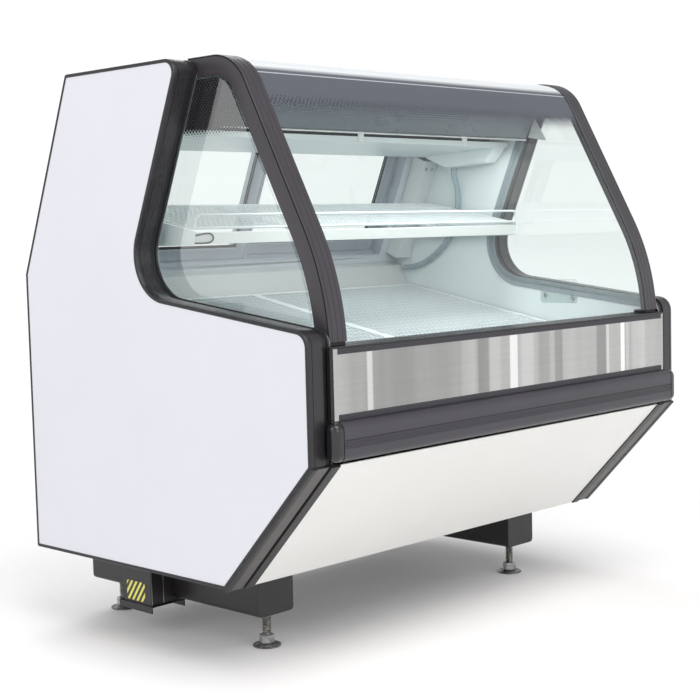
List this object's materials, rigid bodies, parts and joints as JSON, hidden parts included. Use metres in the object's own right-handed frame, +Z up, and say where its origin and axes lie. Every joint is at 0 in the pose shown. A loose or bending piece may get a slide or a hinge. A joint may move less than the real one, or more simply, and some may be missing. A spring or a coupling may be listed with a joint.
{
  "type": "refrigerated deli case",
  "caption": "Floor-standing refrigerated deli display case: sloping insulated end walls, lift-up curved front glass, slatted deck, hanging shelf and sliding rear doors.",
  "frame": {"origin": "on the floor, at the centre of the bounding box's footprint", "axes": "+X to the right as seen from the customer's side in front, +Y to the rear (the server's side), +Z up"},
  "size_m": [1.3, 0.981, 1.288],
  "materials": {
    "white_paint": "satin",
    "warm_white_paint": "satin",
    "cover_white": "satin",
    "liner_white": "satin",
    "black_trim": "satin",
    "charcoal_trim": "satin",
    "black_steel": "satin",
    "stainless": "satin",
    "zinc": "satin",
    "aluminium": "satin",
    "grey_paint": "satin",
    "rubber": "matte",
    "lamp_white": "satin",
    "shelf_white": "satin",
    "clear_hose": "gloss",
    "clear_glass": "gloss"
  },
  "bodies": {
    "cabinet": {"end_wall_left": "liner_white", "end_wall_right": "liner_white", "end_skin_left": "white_paint", "end_skin_right": "white_paint", "edge_band_left": "black_trim", "edge_band_right": "black_trim", "corner_profile_left": "charcoal_trim", "corner_profile_right": "charcoal_trim", "insulated_tub": "liner_white", "lower_front_panel": "warm_white_paint", "top_cover": "cover_white", "machine_floor": "black_steel", "rear_grille": "white_paint", "control_panel": "black_trim", "front_band": "stainless", "front_sill": "black_trim", "front_bumper": "charcoal_trim", "bumper_cap_left": "charcoal_trim", "bumper_cap_right": "charcoal_trim", "hinge_rod": "black_steel", "side_glass_left": "clear_glass", "side_glass_right": "clear_glass", "door_frame": "aluminium", "pilaster_left": "grey_paint", "pilaster_right": "grey_paint", "deck_pan_left": "shelf_white", "deck_pan_right": "shelf_white", "shelf_panel": "shelf_white", "shelf_guard": "shelf_white", "shelf_channel": "lamp_white", "shelf_bracket_left": "shelf_white", "shelf_bracket_right": "shelf_white", "shelf_lamp_cable": "rubber", "evaporator_coil": "aluminium", "drip_pan": "liner_white", "drain_hose": "clear_hose", "lamp_hood": "grey_paint", "hood_lamp": "lamp_white", "compressor": "black_steel", "condenser": "aluminium", "fan_motor": "black_steel", "base_rail_left": "black_steel", "base_rail_right": "black_steel", "base_cross_member": "black_steel", "connection_box": "black_steel"},
    "canopy": {"front_glass": "clear_glass", "arch_left": "charcoal_trim", "arch_right": "charcoal_trim", "canopy_top_rail": "aluminium"},
    "door_left": {"door_left_frame": "aluminium", "door_left_glass": "clear_glass"},
    "door_right": {"door_right_frame": "aluminium", "door_right_glass": "clear_glass"},
    "fan": {"condenser_fan": "aluminium"},
    "knob": {"thermostat_knob": "charcoal_trim"},
    "rocker": {"lamp_switch": "rubber"},
    "foot_fl": {"foot_front_left": "zinc"},
    "foot_fr": {"foot_front_right": "zinc"},
    "foot_rl": {"foot_rear_left": "zinc"},
    "foot_rr": {"foot_rear_right": "zinc"}
  },
  "joints": [
    {"name": "canopy_lift", "type": "hinge", "parent": "cabinet", "child": "canopy", "pos_m": [0, -0.0445, 1.281], "axis": [-1, 0, 0], "range_deg": [0, 55]},
    {"name": "door_left_slide", "type": "slide", "parent": "cabinet", "child": "door_left", "axis": [1, 0, 0], "range_m": [0, 0.513]},
    {"name": "door_right_slide", "type": "slide", "parent": "cabinet", "child": "door_right", "axis": [-1, 0, 0], "range_m": [0, 0.513]},
    {"name": "fan_spin", "type": "hinge", "parent": "cabinet", "child": "fan", "pos_m": [-0.26, 0.3085, 0.345], "axis": [0, 1, 0], "continuous": true},
    {"name": "knob_turn", "type": "hinge", "parent": "cabinet", "child": "knob", "pos_m": [0.375, 0.475, 0.56], "axis": [0, 1, 0], "range_deg": [-135, 135]},
    {"name": "switch_rock", "type": "hinge", "parent": "cabinet", "child": "rocker", "pos_m": [0.285, 0.4725, 0.56], "axis": [1, 0, 0], "range_deg": [-8, 8]},
    {"name": "foot_fl_screw", "type": "hinge", "parent": "cabinet", "child": "foot_fl", "pos_m": [-0.44, -0.0845, 0.04], "axis": [0, 0, 1], "continuous": true},
    {"name": "foot_fr_screw", "type": "hinge", "parent": "cabinet", "child": "foot_fr", "pos_m": [0.44, -0.0845, 0.04], "axis": [0, 0, 1], "continuous": true},
    {"name": "foot_rl_screw", "type": "hinge", "parent": "cabinet", "child": "foot_rl", "pos_m": [-0.44, 0.4385, 0.04], "axis": [0, 0, 1], "continuous": true},
    {"name": "foot_rr_screw", "type": "hinge", "parent": "cabinet", "child": "foot_rr", "pos_m": [0.44, 0.4385, 0.04], "axis": [0, 0, 1], "continuous": true}
  ]
}
